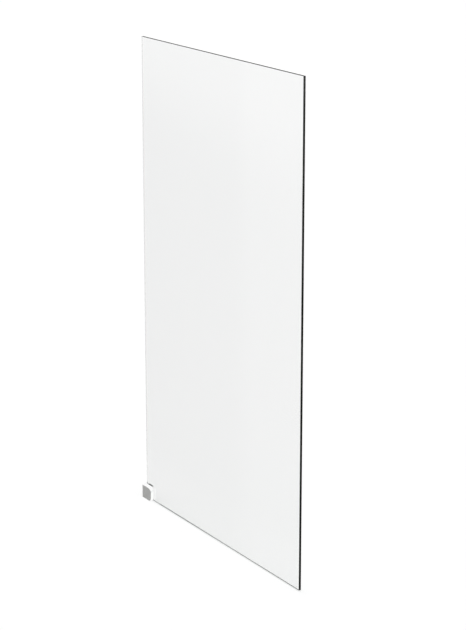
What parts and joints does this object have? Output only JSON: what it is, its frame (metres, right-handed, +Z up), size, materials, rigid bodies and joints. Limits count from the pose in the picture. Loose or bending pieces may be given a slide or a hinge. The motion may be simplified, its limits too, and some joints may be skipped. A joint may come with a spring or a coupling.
{
  "type": "shower screen",
  "caption": "Frameless fixed shower screen: a clear toughened glass panel held at its lower wall corner by a clamp bracket with a satin cover.",
  "frame": {"origin": "on the wall face, in the middle plane of the glass, at half the height of the bracket's front", "axes": "+X along the glass away from the wall, -Y to the front of the screen, +Z up"},
  "size_m": [1.215, 0.0315, 2.003],
  "materials": {
    "clear_glass": "clear toughened, polished edges",
    "bright_metal": "polished",
    "satin_metal": "satin",
    "plain_steel": "plain stainless",
    "dark_rubber": "matt",
    "white_nylon": "matt"
  },
  "bodies": {
    "wall_fixing": {"wall_plate": "plain_steel", "wall_gasket": "dark_rubber"},
    "screen": {"glass_panel": "clear_glass", "clamp_body": "bright_metal", "front_gasket": "dark_rubber", "notch_liner": "white_nylon", "clamp_washers": "plain_steel"},
    "cover": {"front_cover": "satin_metal", "cover_o_rings": "dark_rubber"},
    "jaw": {"rear_jaw": "satin_metal", "rear_gasket": "dark_rubber"},
    "upper_bolt": {"upper_clamp_bolt": "plain_steel"},
    "lower_bolt": {"lower_clamp_bolt": "plain_steel"},
    "lock": {"lock_screws": "plain_steel"}
  },
  "joints": [
    {"name": "wall_adjust", "type": "slide", "parent": "wall_fixing", "child": "screen", "axis": [1, 0, 0], "range_m": [0, 0.008]},
    {"name": "cover_pull", "type": "slide", "parent": "screen", "child": "cover", "axis": [0, -1, 0], "range_m": [0, 0.025]},
    {"name": "jaw_open", "type": "slide", "parent": "screen", "child": "jaw", "axis": [0, 1, 0], "range_m": [0, 0.003]},
    {"name": "upper_bolt_turn", "type": "hinge", "parent": "screen", "child": "upper_bolt", "pos_m": [0.0399, 0, 0.0024], "axis": [0, -1, 0], "range_deg": [0, 1080]},
    {"name": "lower_bolt_turn", "type": "hinge", "parent": "screen", "child": "lower_bolt", "pos_m": [0.0399, 0, -0.0195], "axis": [0, -1, 0], "range_deg": [0, 1080]},
    {"name": "lock_release", "type": "slide", "parent": "screen", "child": "lock", "axis": [0, 0, -1], "range_m": [0, 0.002]}
  ],
  "couplings": [
    {"joint": "upper_bolt_turn", "follows": "jaw_open", "rad_per_m": 6283.2},
    {"joint": "lower_bolt_turn", "follows": "jaw_open", "rad_per_m": 6283.2}
  ]
}
